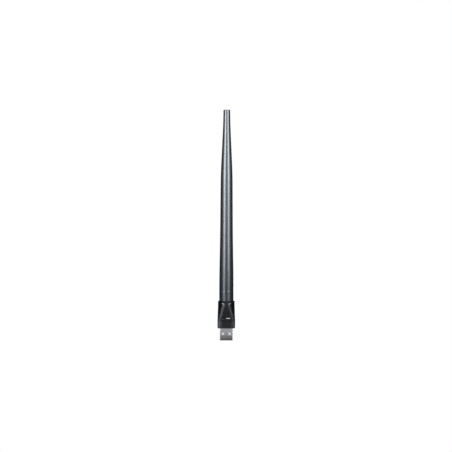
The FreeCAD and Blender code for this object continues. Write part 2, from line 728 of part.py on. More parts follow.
def push_switch():
    """Side-acting push switch on the board's rear, with a guide for its plunger."""
    body = block(
        SWITCH_X,
        (BOARD_BACK_Y, BUTTON_Y + SWITCH_SIDE),
        (BUTTON_Z - SWITCH_HALF_LENGTH, BUTTON_Z + SWITCH_HALF_LENGTH),
    )
    depth = PLUNGER_DEPTH + PLUNGER_STROKE_ROOM
    guide = block(
        (SWITCH_X[1] - depth, SWITCH_X[1] + OVER),
        (PLUNGER_Y[0] - PLUNGER_FIT, PLUNGER_Y[1] + PLUNGER_FIT),
        (PLUNGER_Z[0] - PLUNGER_FIT, PLUNGER_Z[1] + PLUNGER_FIT),
    )
    return body.cut(guide)


def switch_plunger():
    """The switch's moving plunger, which the side button pushes."""
    return block((SWITCH_X[1] - PLUNGER_DEPTH, FLANGE_X[0]), PLUNGER_Y, PLUNGER_Z)


def solder_joints(shell, lead):
    """Solder on the plug's two tabs and on the lead's three pads."""
    made = []
    behind = block((-FAR, FAR), (BOARD_BACK_Y, FAR), (-FAR, FAR))
    before = block((-FAR, FAR), (-FAR, BOARD_FRONT_Y), (-FAR, FAR))
    tab_x = PLUG_WIDTH / 2 - SHELL_WALL / 2
    tab_z = (TAB_Z[0] + TAB_Z[1]) / 2 + SHELL_WALL
    for x in (-tab_x, tab_x):
        blob = Part.makeSphere(TAB_SOLDER_RADIUS, V(x, BOARD_BACK_Y, tab_z))
        made.append(blob.common(behind).cut(shell))
    core_z = CORE_END_Z + CORE_RADIUS
    jacket_z = JACKET_END_Z + CORE_RADIUS
    for x, z in ((0.0, core_z), (-LEAD_PAD_X, jacket_z), (LEAD_PAD_X, jacket_z)):
        blob = Part.makeSphere(LEAD_SOLDER_RADIUS, V(x, BOARD_FRONT_Y - LEAD_SOLDER_RADIUS / 5, z))
        made.append(blob.common(before).cut(lead))
    return Part.makeCompound(made)


# ---- antenna ------------------------------------------------------------------------------------


def base_drum():
    """The base's round outside, turned in at the seam with the sleeve and rounded at its foot."""
    seam = V(SLEEVE_RADIUS - SEAM_BEVEL, 0, SLEEVE_SEAM_Z)
    turn = V(SLEEVE_RADIUS, 0, SLEEVE_SEAM_Z - SEAM_TURN)
    between = V(SLEEVE_RADIUS - SEAM_BEVEL / 4, 0, SLEEVE_SEAM_Z - SEAM_TURN / 2)
    foot = V(SLEEVE_RADIUS, 0, BASE_BOTTOM_Z)
    low = V(0, 0, BASE_BOTTOM_Z)
    high = V(0, 0, SLEEVE_SEAM_Z)
    outline = [
        Part.LineSegment(low, foot).toShape(),
        Part.LineSegment(foot, turn).toShape(),
        Part.Arc(turn, between, seam).toShape(),
        Part.LineSegment(seam, high).toShape(),
        Part.LineSegment(high, low).toShape(),
    ]
    drum = Part.Face(Part.Wire(outline)).revolve(V(0, 0, 0), V(0, 0, 1), 360)
    rim = []
    for edge in drum.Edges:
        if edge.BoundBox.ZMax < BASE_BOTTOM_Z + TINY and edge.BoundBox.XLength > SLEEVE_RADIUS:
            rim.append(edge)
    return drum.makeFillet(BASE_EDGE_ROUND, rim)


def base_skirt():
    """A skirt on the rear half that hides the hinge's slot, kept clear of the housing as it turns."""
    skirt = upright(SLEEVE_RADIUS, (HINGE_Z, BASE_BOTTOM_Z + 2 * BASE_EDGE_ROUND))
    skirt = skirt.common(block((-FAR, FAR), (SKIRT_SPLIT_Y, FAR), (0.0, FAR)))
    low = HINGE_Z + SWEEP_DROP + SWEEP_GAP
    return skirt.cut(under_dish(low, HINGE_Z - OVER, COLLAR_RADIUS, (-OVER, FAR), SWEEP_DISH))


def antenna_base():
    """The moulded base that carries the sleeve, with the hinge's neck, tongue and trunnions."""
    half = TONGUE_WIDTH / 2
    solid = joined(
        [
            base_drum(),
            base_skirt(),
            upright(SPIGOT_RADIUS, (SLEEVE_SEAM_Z - OVER, SPIGOT_TOP_Z)),
            block((-half, half), (-TONGUE_RADIUS, TONGUE_RADIUS), (HINGE_Z, BASE_BOTTOM_Z + OVER)),
            crosswise(TONGUE_RADIUS, (-half, half)),
            crosswise(TRUNNION_RADIUS, (-TRUNNION_REACH, TRUNNION_REACH)),
        ]
    )
    room = COAX_RADIUS + LEAD_ROOM
    cuts = [
        upright(SPIGOT_RADIUS - SPIGOT_WALL, (BASE_BOTTOM_Z + TONGUE_RADIUS, SPIGOT_TOP_Z + OVER)),
        upright(room, (HINGE_Z, SPIGOT_TOP_Z)),
        block((-room, room), (-room, FAR), (HINGE_Z - TONGUE_RADIUS - OVER, HINGE_Z + room)),
    ]
    return less(solid, cuts)


def antenna_sleeve():
    """The long tapered sleeve, closed at its tip."""
    foot = (SPIGOT_RADIUS + SPIGOT_FIT, SLEEVE_SEAM_Z)
    bore_top = SLEEVE_TOP_Z - SLEEVE_CAP
    points = [foot, (SLEEVE_RADIUS - SEAM_BEVEL, SLEEVE_SEAM_Z)] + SLEEVE_OUTLINE
    tip_radius = SLEEVE_OUTLINE[-1][0] - TIP_CORNER
    points += [(tip_radius, SLEEVE_TOP_Z), (0.0, SLEEVE_TOP_Z), (0.0, bore_top)]
    points += [(radius, min(height, bore_top)) for radius, height in reversed(SLEEVE_BORE)]
    points += [(foot[0], SPIGOT_TOP_Z + OVER / 2)]
    return turned(points, SLEEVE_OUTLINE)


def bore_at(height):
    """The sleeve's inside radius at a height, for the rings that are pushed up into it."""
    for (r0, z0), (r1, z1) in zip(SLEEVE_BORE, SLEEVE_BORE[1:]):
        if z0 <= height <= z1:
            return r0 + (r1 - r0) * (height - z0) / (z1 - z0)
    raise ValueError("outside the bore")


def lead_below():
    """The coaxial lead from its pads on the board up to the hinge, with its end stripped."""
    jacket = upright(COAX_RADIUS, (JACKET_END_Z, HINGE_Z - LEAD_SPLIT))
    return joined([jacket, upright(CORE_RADIUS, (CORE_END_Z, JACKET_END_Z + OVER))])


def lead_above():
    """The coaxial lead from the hinge's axis up to the antenna's feed, with a round lower end."""
    run = upright(COAX_RADIUS, (HINGE_Z, FEED_Z))
    return joined([run, Part.makeSphere(COAX_RADIUS, V(0, 0, HINGE_Z))])


def dipole_tube():
    """Brass tube round the lead, closed on it at the top: the lower half of the dipole."""
    bottom = FEED_Z - TUBE_LENGTH
    bore = upright(TUBE_RADIUS - TUBE_WALL, (bottom - OVER, FEED_Z - TUBE_CAP))
    lead_hole = upright(COAX_RADIUS, (bottom, FEED_Z + OVER))
    return less(upright(TUBE_RADIUS, (bottom, FEED_Z)), [bore, lead_hole])


def feed_bush():
    """Insulating bush between the tube and the radiating wire."""
    top = FEED_Z + BUSH_LENGTH
    return upright(BUSH_RADIUS, (FEED_Z, top)).cut(upright(WIRE_RADIUS, (FEED_Z - OVER, top + OVER)))


def radiator_lower():
    """Straight wire from the feed to the phasing coil."""
    return upright(WIRE_RADIUS, (FEED_Z, COIL_Z[0]))


def radiator_upper():
    """Straight wire above the phasing coil."""
    return upright(WIRE_RADIUS, (COIL_Z[1], WIRE_TOP_Z))


def phasing_coil():
    """The wound coil between the two wires, with an arm in to the centre at each end."""
    low = COIL_Z[0] + WIRE_RADIUS
    high = COIL_Z[1] - WIRE_RADIUS
    helix = Part.makeHelix((high - low) / COIL_TURNS, high - low, COIL_RADIUS)
    helix.translate(V(0, 0, low))
    path = Part.Wire(helix.Edges)
    first = path.Edges[0]
    start = first.FirstParameter
    ring = Part.Wire(Part.makeCircle(WIRE_RADIUS, first.valueAt(start), first.tangentAt(start)))
    pieces = []
    for z in (low, high):
        pieces.append(Part.makeCylinder(COIL_ARM_RADIUS, COIL_RADIUS + PLUG_FIT, V(0, 0, z), V(1, 0, 0)))
        pieces.append(upright(WIRE_RADIUS, (z - WIRE_RADIUS, z + WIRE_RADIUS)))
    return path.makePipeShell([ring], True, False).multiFuse(pieces)


def centring_rings():
    """Light discs that keep the tube and the wires in the middle of the sleeve."""
    rings = []
    for z in RING_Z:
        inner = TUBE_RADIUS if z < FEED_Z else WIRE_RADIUS
        disc = upright(bore_at(z + RING_HEIGHT) - RING_FIT, (z, z + RING_HEIGHT))
        rings.append(disc.cut(upright(inner + SPIGOT_FIT, (z - OVER, z + RING_HEIGHT + OVER))))
    return Part.makeCompound(rings)


def hinge_washers():
    """Two friction washers, one on each trunnion, held in the collar."""
    rings = []
    half = SLOT_WIDTH / 2
    hole = crosswise(TRUNNION_RADIUS + TRUNNION_CLEARANCE, (-COLLAR_RADIUS, COLLAR_RADIUS))
    for side in (-1, 1):
        reach = sorted((side * (half + 2 * TINY), side * (half + WASHER_THICKNESS)))
        rings.append(crosswise(WASHER_RADIUS, reach).cut(hole))
    return Part.makeCompound(rings)


# ---- output -------------------------------------------------------------------------------------


def build():
    """Every sub-part by the name of its node."""
    front, rear = covers()
    contacts = plug_contacts()
    shell = plug_shell()
    lead = lead_below()
    return {
        "front_cover": front,
        "rear_cover": rear,
        "light_pipe": light_pipe(),
        "button_cap": button_cap(),
        "plug_shell": shell,
        "plug_insulator": plug_insulator(contacts),
        "plug_contacts": contacts,
        "main_board": main_board(),
        "radio_chip": chip(RADIO_CHIP, chamfer=CHIP_EDGE),
        "clock_crystal": joined([chip(CRYSTAL_BASE), chip(CRYSTAL_LID)]),
        "power_inductor": power_inductor(),
        "voltage_regulator": voltage_regulator(),
        "amplifier": chip(AMPLIFIER, rear=True),
        "band_filter": chip(BAND_FILTER, rear=True),
        "capacitors": capacitors(),
        "resistors": resistors(),
        "indicator_lamp": joined([chip(LAMP_BASE), chip(LAMP_LENS)]),
        "push_switch": push_switch(),
        "switch_plunger": switch_plunger(),
        "solder_joints": solder_joints(shell, lead),
        "hinge_washers": hinge_washers(),
        "lead_below_hinge": lead,
        "lead_above_hinge": lead_above(),
        "antenna_base": antenna_base(),
        "antenna_sleeve": antenna_sleeve(),
        "dipole_tube": dipole_tube(),
        "feed_bush": feed_bush(),
        "radiator_lower": radiator_lower(),
        "phasing_coil": phasing_coil(),
        "radiator_upper": radiator_upper(),
        "centring_rings": centring_rings(),
    }


def main():
    os.makedirs("parts", exist_ok=True)
    for name, shape in build().items():
        if not shape.isValid():
            print("not valid:", name)
        print(f"{name:20s} solids {len(shape.Solids):2d}  volume {shape.Volume:9.2f}")
        shape.exportStep(f"parts/{name}.step")


main()
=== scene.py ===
import math

import bmesh
import bpy
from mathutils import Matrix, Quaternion, Vector


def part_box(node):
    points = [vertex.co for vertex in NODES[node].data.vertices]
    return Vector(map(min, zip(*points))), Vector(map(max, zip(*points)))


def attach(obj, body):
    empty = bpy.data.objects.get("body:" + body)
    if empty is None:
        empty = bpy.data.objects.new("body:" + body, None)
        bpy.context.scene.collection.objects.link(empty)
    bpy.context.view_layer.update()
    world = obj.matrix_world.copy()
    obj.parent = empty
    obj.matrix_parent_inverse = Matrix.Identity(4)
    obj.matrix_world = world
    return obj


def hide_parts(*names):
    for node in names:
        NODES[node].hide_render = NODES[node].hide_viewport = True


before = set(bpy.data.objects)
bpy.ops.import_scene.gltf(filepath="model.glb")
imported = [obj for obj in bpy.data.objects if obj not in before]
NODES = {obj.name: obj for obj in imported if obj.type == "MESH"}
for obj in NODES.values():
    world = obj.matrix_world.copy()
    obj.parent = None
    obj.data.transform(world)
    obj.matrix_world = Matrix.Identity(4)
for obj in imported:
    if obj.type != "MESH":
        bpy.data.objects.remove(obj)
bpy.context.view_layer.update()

# The looks of a USB wireless adapter, in metres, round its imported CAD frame: Z up from the plug to the
# antenna's tip, and -Y the front.

MM = 0.001

# ---- sizes shared with the CAD ------------------------------------------------------------------

BODY_CORNER_X = 7.05 * MM
BODY_CORNER = 1.3 * MM
BODY_FRONT_CORNER_Y = -4.3 * MM
BODY_CROWN = 25.0 * MM
BODY_STRAIGHT = 6.5 * MM
COLLAR_START = 21.2 * MM
COLLAR_RADIUS = 7.9 * MM
SEAM_BEVEL = 0.07 * MM
TIP_ROUND = 0.3 * MM
SLEEVE_WALL = 1.1 * MM
SLEEVE_CAP = 1.5 * MM
SOCKET_RADIUS = 5.52 * MM
SOCKET_TOP = 43.5 * MM

sleeve_low, sleeve_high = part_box("antenna_sleeve")
SEAM_Z = sleeve_low.z
TIP_Z = sleeve_high.z

# (radius, height) in millimetres of the sleeve's outside, between its two ends
SLEEVE_SHAPE = [
    (6.75, 35.67),
    (6.70, 48.0),
    (6.38, 68.0),
    (6.05, 90.0),
    (5.82, 118.0),
    (5.66, 140.0),
    (5.33, 152.0),
    (4.60, 168.0),
    (3.70, 188.0),
    (3.35, 198.0),
    (3.18, 207.2),
]

# how finely the sleeve is divided: along it, round it and over its tip's edge, with the rings of its end
# face as shares of that face's radius, and the rows of the outside that its bore follows
SLEEVE_ROWS = 130
SLEEVE_SIDES = 160
TIP_STEPS = 6
TIP_RINGS = (0.97, 0.5, 0.0)
BORE_ROWS = slice(8, -4, 6)

# the printed mark: (middle, half length between the round ends) of each bar, in millimetres
MARK_BARS = [(0.4, 0.3), (1.75, 0.5), (3.08, 0.27)]
MARK_Z = 9.75 * MM
MARK_RADIUS = 0.38 * MM
INK_THICKNESS = 0.03 * MM
MARK_END_STEPS = 10

# edges stay sharp where faces meet at more than this, in degrees
NODE_SHARP = 20
SLEEVE_SHARP = 30


# ---- mesh helpers -------------------------------------------------------------------------------


def new_piece(name, mesh_maker, body, material):
    """An object from a bmesh filled by mesh_maker, riding on a body."""
    mesh = bpy.data.meshes.new(name)
    bm = bmesh.new()
    mesh_maker(bm)
    bmesh.ops.recalc_face_normals(bm, faces=bm.faces)
    bm.to_mesh(mesh)
    bm.free()
    piece = bpy.data.objects.new(name, mesh)
    bpy.context.scene.collection.objects.link(piece)
    mesh.materials.append(material)
    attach(piece, body)
    return piece


def lathe(bm, profile, steps):
    """A closed surface turned about Z from (radius, height) points, with poles where radius is 0."""
    rings = []
    for radius, height in profile:
        if radius == 0.0:
            rings.append([bm.verts.new((0.0, 0.0, height))])
            continue
        ring = []
        for i in range(steps):
            turn = 2 * math.pi * i / steps
            ring.append(bm.verts.new((radius * math.cos(turn), radius * math.sin(turn), height)))
        rings.append(ring)
    for low, high in zip(rings, rings[1:] + rings[:1]):
        for i in range(steps):
            j = (i + 1) % steps
            if len(low) == 1 and len(high) == 1:
                break
            if len(high) == 1:
                bm.faces.new((low[i], low[j], high[0]))
            elif len(low) == 1:
                bm.faces.new((low[0], high[j], high[i]))
            else:
                bm.faces.new((low[i], low[j], high[j], high[i]))


def smooth_by_angle(piece, degrees):
    """Smooth shading, kept sharp where faces meet at more than an angle."""
    piece.data.shade_smooth()
    piece.data.set_sharp_from_angle(angle=math.radians(degrees))


# ---- the sleeve's smooth outline ----------------------------------------------------------------


def slopes(points):
    """Slopes for a curve through (value, place) points that never overshoots between them."""
    steps = [(b[0] - a[0]) / (b[1] - a[1]) for a, b in zip(points, points[1:])]
    inner = []
    for before, after in zip(steps, steps[1:]):
        inner.append(0.0 if before * after <= 0 else 2 * before * after / (before + after))
    return [steps[0]] + inner + [steps[-1]]


def radius_at(height_mm):
    """The sleeve's outside radius at a height, both in millimetres."""
    tilt = slopes(SLEEVE_SHAPE)
    for i, (start, end) in enumerate(zip(SLEEVE_SHAPE, SLEEVE_SHAPE[1:])):
        if height_mm <= end[1]:
            break
    span = end[1] - start[1]
    t = (height_mm - start[1]) / span
    rise = 3 * t**2 - 2 * t**3
    return (
        start[0] * (1 - rise)
        + end[0] * rise
        + tilt[i] * span * (t**3 - 2 * t**2 + t)
        + tilt[i + 1] * span * (t**3 - t**2)
    )


def sleeve_profile():
    """The sleeve's outside, its rounded tip, its bore and the socket for the base's spigot."""
    low = SLEEVE_SHAPE[0][1]
    high = SLEEVE_SHAPE[-1][1]
    outside = []
    for i in range(SLEEVE_ROWS + 1):
        height = low + (high - low) * i / SLEEVE_ROWS
        outside.append((radius_at(height) * MM, height * MM))
    tip = []
    rim = outside[-1][0] - TIP_ROUND
    for i in range(1, TIP_STEPS + 1):
        turn = math.pi / 2 * i / TIP_STEPS
        tip.append((rim + TIP_ROUND * math.cos(turn), TIP_Z - TIP_ROUND * (1 - math.sin(turn))))
    end_face = [(rim * share, TIP_Z) for share in TIP_RINGS]
    foot_out = (outside[0][0] - SEAM_BEVEL, SEAM_Z)
    foot_in = (SOCKET_RADIUS, SEAM_Z)
    bore_end = TIP_Z - SLEEVE_CAP
    bore = [(0.0, bore_end), (outside[-1][0] - SLEEVE_WALL, bore_end)]
    for radius, height in reversed(outside[BORE_ROWS]):
        bore.append((radius - SLEEVE_WALL, height))
    bore.append((SOCKET_RADIUS, SOCKET_TOP))
    return [foot_out] + outside + tip + end_face + bore + [foot_in]


# ---- material helpers ---------------------------------------------------------------------------


# the part of its range that a noise pattern mostly stays in
NOISE_LOW = 0.3
NOISE_HIGH = 0.7

BLACK = (0.0, 0.0, 0.0, 1.0)
WHITE = (1.0, 1.0, 1.0, 1.0)


class Shader:
    """A principled material with short ways to add patterns that stay fixed to the object.

    Its colour and roughness are plain values on the shader's own sockets, for patterns to take over.
    """

    def __init__(self, name, colour, roughness, metallic=0.0, ior=1.5):
        self.material = bpy.data.materials.new(name)
        self.material.use_nodes = True
        self.tree = self.material.node_tree
        self.tree.nodes.clear()
        output = self.tree.nodes.new("ShaderNodeOutputMaterial")
        self.bsdf = self.tree.nodes.new("ShaderNodeBsdfPrincipled")
        self.tree.links.new(self.bsdf.outputs["BSDF"], output.inputs["Surface"])
        self.bsdf.inputs["Base Color"].default_value = (*colour, 1.0)
        self.bsdf.inputs["Roughness"].default_value = roughness
        self.bsdf.inputs["Metallic"].default_value = metallic
        self.bsdf.inputs["IOR"].default_value = ior
        place = self.tree.nodes.new("ShaderNodeTexCoord")
        self.place = place.outputs["Object"]
        self.normal = None

    def stretched(self, stretch):
        """Object coordinates multiplied along X, Y and Z."""
        mapping = self.tree.nodes.new("ShaderNodeMapping")
        mapping.inputs["Scale"].default_value = stretch
        self.tree.links.new(self.place, mapping.inputs["Vector"])
        return mapping.outputs["Vector"]

    def noise(self, cell_mm, detail=3.0, stretch=None, distortion=0.0):
        """A soft pattern with cells of a size in millimetres, about 0 to 1."""
        node = self.tree.nodes.new("ShaderNodeTexNoise")
        node.inputs["Scale"].default_value = 1.0 / (cell_mm * MM)
        node.inputs["Detail"].default_value = detail
        node.inputs["Distortion"].default_value = distortion
        place = self.stretched(stretch) if stretch else self.place
        self.tree.links.new(place, node.inputs["Vector"])
        return node.outputs["Fac"]

    def cells(self, cell_mm):
        """Distance from the nearest of scattered points, for specks and grains."""
        node = self.tree.nodes.new("ShaderNodeTexVoronoi")
        node.inputs["Scale"].default_value = 1.0 / (cell_mm * MM)
        self.tree.links.new(self.place, node.inputs["Vector"])
        return node.outputs["Distance"]

    def spread(self, value, low=0.0, high=1.0, start=NOISE_LOW, end=NOISE_HIGH):
        """A pattern's range from start to end, turned into a range from low to high."""
        node = self.tree.nodes.new("ShaderNodeMapRange")
        node.inputs["From Min"].default_value = start
        node.inputs["From Max"].default_value = end
        node.inputs["To Min"].default_value = low
        node.inputs["To Max"].default_value = high
        self.tree.links.new(value, node.inputs["Value"])
        return node.outputs["Result"]

    def combined(self, first, second, operation):
        """The sum or the product of two patterns."""
        node = self.tree.nodes.new("ShaderNodeMath")
        node.operation = operation
        self.tree.links.new(first, node.inputs[0])
        self.tree.links.new(second, node.inputs[1])
        return node.outputs["Value"]

    def height(self, axis="Z"):
        """The place along one axis, in metres."""
        node = self.tree.nodes.new("ShaderNodeSeparateXYZ")
        self.tree.links.new(self.place, node.inputs["Vector"])
        return node.outputs[axis]

    def mix_toward(self, value, colour):
        """A mix that reaches a colour by a pattern: the socket it starts from, and its result."""
        node = self.tree.nodes.new("ShaderNodeMix")
        node.data_type = "RGBA"
        self.tree.links.new(value, node.inputs["Factor"])
        first, second = [s for s in node.inputs if s.type == "RGBA"]
        second.default_value = (*colour, 1.0)
        result = [s for s in node.outputs if s.type == "RGBA"][0]
        return first, result

    def blend(self, value, dark, light):
        """A colour between two, by a pattern."""
        first, result = self.mix_toward(value, light)
        first.default_value = (*dark, 1.0)
        return result

    def blend_over(self, value, under, colour):
        """A colour laid over another one's output, by a pattern."""
        first, result = self.mix_toward(value, colour)
        self.tree.links.new(under, first)
        return result

    def colour(self, value):
        """Takes the surface's colour from a pattern."""
        self.tree.links.new(value, self.bsdf.inputs["Base Color"])

    def roughness(self, value):
        """Takes the surface's roughness from a pattern."""
        self.tree.links.new(value, self.bsdf.inputs["Roughness"])

    def fade_outward(self, start, end):
        """Makes the surface melt away between two distances from the object's own centre, in metres."""
        node = self.tree.nodes.new("ShaderNodeVectorMath")
        node.operation = "LENGTH"
        self.tree.links.new(self.place, node.inputs[0])
        left = self.spread(node.outputs["Value"], 1.0, 0.0, start, end)
        self.tree.links.new(left, self.bsdf.inputs["Alpha"])

    def soft_edges(self, radius_mm):
        """Rounds sharp edges in the shading, as a mould or a press leaves them."""
        node = self.tree.nodes.new("ShaderNodeBevel")
        node.samples = 4
        node.inputs["Radius"].default_value = radius_mm * MM
        self.normal = node.outputs["Normal"]
        self.tree.links.new(self.normal, self.bsdf.inputs["Normal"])

    def bump(self, value, depth_mm, strength=1.0):
        """Raises the surface by a pattern, on top of any earlier bump."""
        node = self.tree.nodes.new("ShaderNodeBump")
        node.inputs["Strength"].default_value = strength
        node.inputs["Distance"].default_value = depth_mm * MM
        self.tree.links.new(value, node.inputs["Height"])
        if self.normal:
            self.tree.links.new(self.normal, node.inputs["Normal"])
        self.normal = node.outputs["Normal"]
        self.tree.links.new(self.normal, self.bsdf.inputs["Normal"])


# ---- materials ----------------------------------------------------------------------------------


def antenna_plastic():
    """Satin black plastic with a fine spark-eroded grain, rubbed smoother towards its handled foot."""
    s = Shader("antenna_plastic", (0.0045, 0.0052, 0.006), 0.4, ior=1.5)
    broad = s.noise(9.0, detail=2.0)
    grain = s.noise(0.16, detail=2.0)
    rubbed = s.noise(1.6, detail=2.0, stretch=(1.0, 1.0, 0.12))
    s.colour(s.blend(s.spread(broad), (0.0035, 0.0042, 0.005), (0.0055, 0.0062, 0.0072)))
    streaks = s.spread(rubbed, -0.01, 0.01, 0.35, 0.65)
    handled = s.spread(s.height(), -0.1, 0.0, 30.0 * MM, 110.0 * MM)
    fine = s.spread(grain, 0.385, 0.405)
    s.roughness(s.combined(s.combined(fine, streaks, "ADD"), handled, "ADD"))
    s.bump(grain, 0.008, 0.1)
    return s.material


def housing_plastic():
    """Black moulded plastic, a little smoother than the antenna, with soft flow marks."""
    s = Shader("housing_plastic", (0.002, 0.0022, 0.0025), 0.25, ior=1.42)
    s.soft_edges(0.14)
    broad = s.noise(6.0, detail=2.0)
    grain = s.noise(0.12, detail=2.0)
    flow = s.noise(2.0, detail=3.0, stretch=(1.0, 1.0, 0.35), distortion=0.4)
    s.colour(s.blend(s.spread(broad), (0.0005, 0.0006, 0.0007), (0.001, 0.0011, 0.0013)))
    fine = s.spread(grain, 0.24, 0.29)
    s.roughness(s.combined(fine, s.spread(flow, -0.03, 0.03), "ADD"))
    s.bump(grain, 0.008, 0.15)
    return s.material


def smoked_lens():
    """Dark clear plastic of the indicator's window."""
    s = Shader("smoked_lens", (0.001, 0.001, 0.001), 0.12, ior=1.35)
    s.roughness(s.spread(s.noise(0.6), 0.08, 0.2))
    s.bump(s.noise(0.9, detail=1.0), 0.01, 0.3)
    return s.material


def button_plastic():
    """Black plastic of the side button, with a coarser grain than the housing."""
    s = Shader("button_plastic", (0.03, 0.03, 0.033), 0.5)
    s.soft_edges(0.08)
    grain = s.noise(0.14, detail=2.0)
    s.colour(s.blend(s.spread(s.noise(1.5)), (0.024, 0.024, 0.026), (0.034, 0.034, 0.037)))
    s.roughness(s.spread(grain, 0.42, 0.56))
    s.bump(grain, 0.012, 0.5)
    return s.material


def plug_steel():
    """Nickel-plated sheet steel: brushed along its length, duller and scuffed towards the mouth, where
    painted shade darkens its colour.
    """
    s = Shader("plug_steel", (0.55, 0.54, 0.52), 0.32, metallic=1.0)
    s.soft_edges(0.06)
    brushed = s.noise(0.16, detail=3.0, stretch=(1.0, 1.0, 0.05))
    cloud = s.noise(2.2, detail=4.0)
    scuff = s.noise(0.5, detail=5.0, stretch=(0.3, 0.3, 1.6))
    # painted shade: the colour darkens towards the mouth by height, broken up by the scuff pattern
    painted_shade_toward_mouth = s.spread(s.height(), 1.0, 0.0, -11.0 * MM, -0.5 * MM)
    scuffs_and_painted_shade = s.combined(painted_shade_toward_mouth, s.spread(scuff, 0.75, 1.25), "MULTIPLY")
    plated = s.blend(s.spread(cloud), (0.74, 0.74, 0.73), (0.82, 0.82, 0.81))
    # the dark grey laid over the plating towards the mouth is painted shade
    s.colour(s.blend_over(scuffs_and_painted_shade, plated, (0.14, 0.14, 0.14)))
    duller = s.spread(scuffs_and_painted_shade, 0.0, 0.04, 0.0, 1.0)
    s.roughness(s.combined(s.spread(brushed, 0.19, 0.26), duller, "ADD"))
    s.bump(brushed, 0.004, 0.35)
    return s.material


def white_plastic():
    """White glass-filled nylon of the plug's insulator and the feed bush, painted mid-grey as shade inside
    the plug's windows and toned down for strong lamps.
    """
    s = Shader("white_plastic", (0.85, 0.85, 0.83), 0.45)
    # the grey colour is painted shade for the insulator seen through the plug's windows
    s.colour(s.blend(s.spread(s.noise(1.4)), (0.131, 0.124, 0.119), (0.168, 0.159, 0.152)))
    s.roughness(s.spread(s.noise(0.3), 0.38, 0.52))
    s.bump(s.noise(0.2), 0.01, 0.3)
    return s.material


def gold_contact():
    """Gold flash, with a wiping track worn along each contact."""
    s = Shader("gold_contact", (0.83, 0.62, 0.27), 0.24, metallic=1.0)
    track = s.noise(0.12, detail=2.0, stretch=(1.0, 1.0, 0.06))
    s.colour(s.blend(s.spread(track, 0.0, 1.0, 0.35, 0.65), (0.86, 0.64, 0.28), (0.74, 0.60, 0.36)))
    s.roughness(s.spread(track, 0.16, 0.34))
    s.bump(track, 0.003, 0.3)
    return s.material


def green_board():
    """Solder mask over copper tracks and a woven glass laminate."""
    s = Shader("green_board", (0.02, 0.16, 0.07), 0.35)
    tracks = s.tree.nodes.new("ShaderNodeTexBrick")
    tracks.inputs["Scale"].default_value = 1.0 / (1.4 * MM)
    tracks.inputs["Mortar Size"].default_value = 0.07
    tracks.inputs["Color1"].default_value = BLACK
    tracks.inputs["Color2"].default_value = BLACK
    tracks.inputs["Mortar"].default_value = WHITE
    flat = s.tree.nodes.new("ShaderNodeCombineXYZ")
    s.tree.links.new(s.height("X"), flat.inputs["X"])
    s.tree.links.new(s.height("Z"), flat.inputs["Y"])
    s.tree.links.new(flat.outputs["Vector"], tracks.inputs["Vector"])
    copper = tracks.outputs["Color"]
    weave = s.noise(0.25, detail=1.0)
    mask = s.blend(s.spread(weave, 0.0, 1.0, 0.35, 0.65), (0.010, 0.105, 0.045), (0.014, 0.135, 0.06))
    s.colour(s.blend_over(copper, mask, (0.04, 0.24, 0.10)))
    s.roughness(s.spread(weave, 0.28, 0.42))
    s.bump(copper, 0.03, 0.5)
    return s.material


def chip_black():
    """Moulded epoxy with a matt, gritty top."""
    s = Shader("chip_black", (0.02, 0.02, 0.022), 0.6)
    grit = s.noise(0.08, detail=3.0)
    s.colour(s.blend(s.spread(s.noise(1.1)), (0.016, 0.016, 0.018), (0.03, 0.03, 0.032)))
    s.roughness(s.spread(grit, 0.5, 0.7))
    s.bump(grit, 0.01, 0.6)
    return s.material


def can_metal():
    """Stamped lid of the crystal."""
    s = Shader("can_metal", (0.68, 0.67, 0.64), 0.3, metallic=1.0)
    s.colour(s.blend(s.spread(s.noise(0.8)), (0.60, 0.59, 0.56), (0.72, 0.71, 0.69)))
    s.roughness(s.spread(s.noise(0.1, stretch=(1.0, 1.0, 0.1)), 0.22, 0.38))
    return s.material


def ferrite():
    """Dark sintered core of the inductor."""
    s = Shader("ferrite", (0.09, 0.09, 0.09), 0.55)
    grit = s.cells(0.12)
    s.colour(s.blend(s.spread(grit, 0.0, 1.0, 0.0, 0.7), (0.07, 0.07, 0.07), (0.13, 0.13, 0.13)))
    s.roughness(s.spread(grit, 0.45, 0.65, 0.0, 0.7))
    s.bump(grit, 0.01, 0.5)
    return s.material


def ceramic_tan():
    """Fired ceramic of the capacitors and the filter."""
    s = Shader("ceramic_tan", (0.42, 0.3, 0.18), 0.45)
    s.colour(s.blend(s.spread(s.noise(0.5)), (0.36, 0.25, 0.15), (0.46, 0.34, 0.21)))
    s.roughness(s.spread(s.noise(0.15), 0.38, 0.52))
    s.bump(s.noise(0.1), 0.004, 0.4)
    return s.material


def lamp_white():
    """Cast resin over the lamp's phosphor."""
    s = Shader("lamp_white", (0.88, 0.85, 0.6), 0.25)
    s.colour(s.blend(s.spread(s.noise(0.4)), (0.85, 0.80, 0.48), (0.9, 0.88, 0.68)))
    s.roughness(s.spread(s.noise(0.3), 0.18, 0.34))
    return s.material


def switch_plastic():
    """Dark moulded plastic of the push switch."""
    s = Shader("switch_plastic", (0.06, 0.06, 0.065), 0.5)
    s.colour(s.blend(s.spread(s.noise(0.9)), (0.05, 0.05, 0.055), (0.075, 0.075, 0.08)))
    s.roughness(s.spread(s.noise(0.12), 0.42, 0.58))
    s.bump(s.noise(0.12), 0.006, 0.4)
    return s.material


def solder():
    """Bright reflowed solder with a slightly wrinkled skin."""
    s = Shader("solder", (0.66, 0.67, 0.69), 0.28, metallic=1.0)
    skin = s.noise(0.25, detail=3.0)
    s.colour(s.blend(s.spread(skin), (0.58, 0.59, 0.61), (0.72, 0.73, 0.75)))
    s.roughness(s.spread(skin, 0.2, 0.4))
    s.bump(skin, 0.01, 0.4)
    return s.material


def washer_nylon():
    """Off-white nylon, rubbed on its faces."""
    s = Shader("washer_nylon", (0.75, 0.74, 0.68), 0.5)
    s.colour(s.blend(s.spread(s.noise(0.8)), (0.70, 0.69, 0.63), (0.79, 0.78, 0.73)))
    s.roughness(s.spread(s.noise(0.3), 0.4, 0.6))
    return s.material


